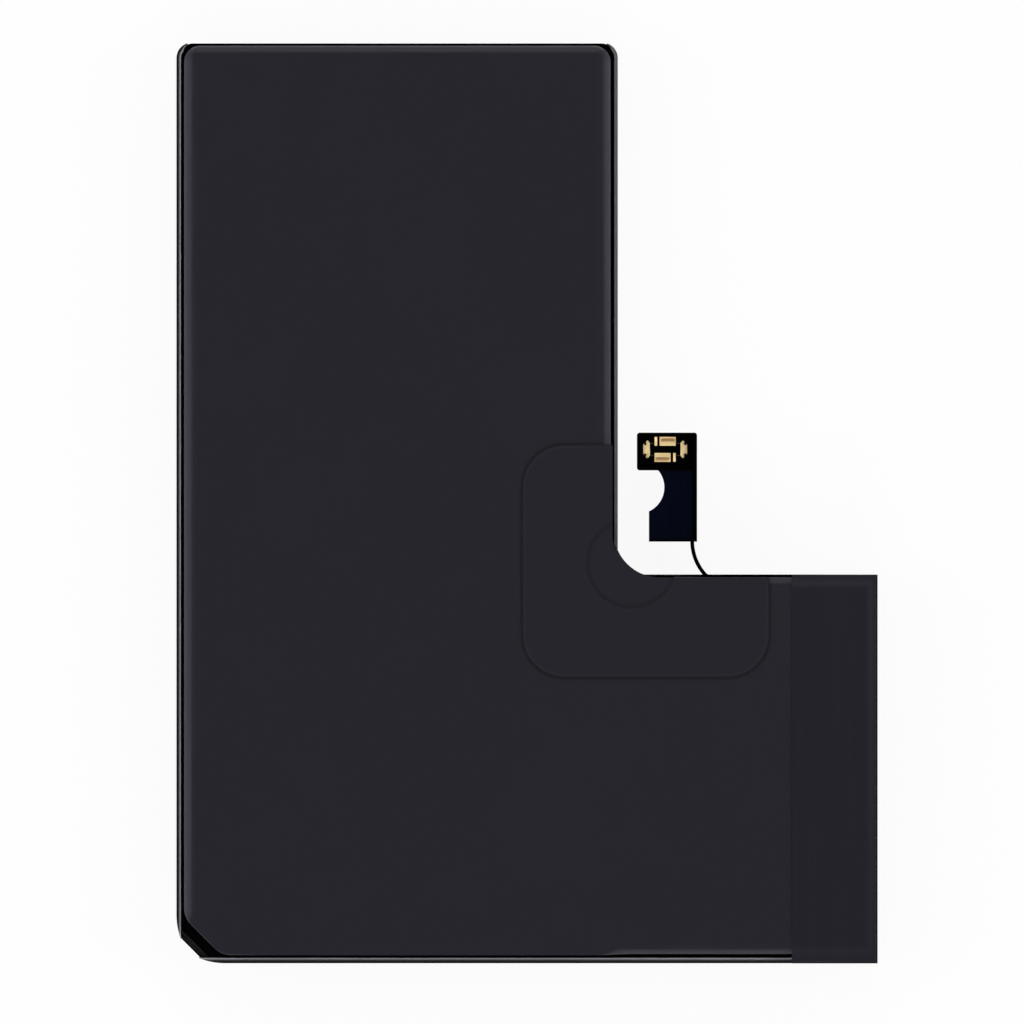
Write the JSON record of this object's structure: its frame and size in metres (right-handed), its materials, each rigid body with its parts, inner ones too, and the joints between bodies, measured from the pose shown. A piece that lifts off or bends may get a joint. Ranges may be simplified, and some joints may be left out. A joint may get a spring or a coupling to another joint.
{
  "type": "mobile phone battery",
  "caption": "L-shaped pouch battery for a phone, with a folded seal flange, a wrapped protection board and a short flex tail ending in a plug.",
  "frame": {"origin": "centre of the bounding box in plan, on the flat back sheet of the pouch", "axes": "+X along the foot towards the wrapped board end, +Y along the stem away from the foot, +Z out of the drawn face"},
  "size_m": [0.0684, 0.0896, 0.0049],
  "materials": {
    "pouch_laminate": "satin black nylon-coated aluminium laminate",
    "patch_film": "satin black polyester film over foam",
    "wrap_tape": "smooth black polyester tape",
    "moulded_cover": "moulded black resin",
    "insulating_tape": "amber polyimide tape",
    "foam": "fine-celled black foam",
    "board_laminate": "glass-epoxy board with dark solder mask",
    "tab_aluminium": "rolled aluminium strip",
    "nickel": "rolled nickel",
    "seal_film": "pressed polypropylene film",
    "chip_resin": "moulded epoxy",
    "chip_ceramic": "fired ceramic with tinned ends",
    "flex_film": "glossy navy-black polyimide coverlay",
    "stiffener": "thin rolled stainless plate",
    "plug_plastic": "moulded black liquid-crystal polymer",
    "gold_plating": "gold plating on bronze spring strip"
  },
  "bodies": {
    "root": {"pouch_cell": "pouch_laminate", "corner_patch": "patch_film", "corner_filler": "foam", "end_wrap": "wrap_tape", "board_cover": "moulded_cover", "terrace_tape": "insulating_tape", "board_foam": "foam", "circuit_board": "board_laminate", "positive_tab": "tab_aluminium", "negative_tab": "nickel", "positive_tab_seal": "seal_film", "negative_tab_seal": "seal_film", "positive_weld_plate": "nickel", "negative_weld_plate": "nickel", "fuel_gauge_chip": "chip_resin", "protection_chip": "chip_resin", "charge_switch": "chip_resin", "discharge_switch": "chip_resin", "sense_resistor": "chip_ceramic", "thermistor": "chip_ceramic", "chip_capacitors": "chip_ceramic", "flex_cable": "flex_film", "flex_side_pad": "foam", "plug_stiffener": "stiffener", "plug_gasket": "foam", "plug_housing": "plug_plastic", "upper_power_contact": "gold_plating", "upper_signal_contact": "gold_plating", "lower_power_contact": "gold_plating", "lower_signal_contact": "gold_plating", "left_hold_down": "gold_plating", "right_hold_down": "gold_plating"}
  },
  "joints": []
}
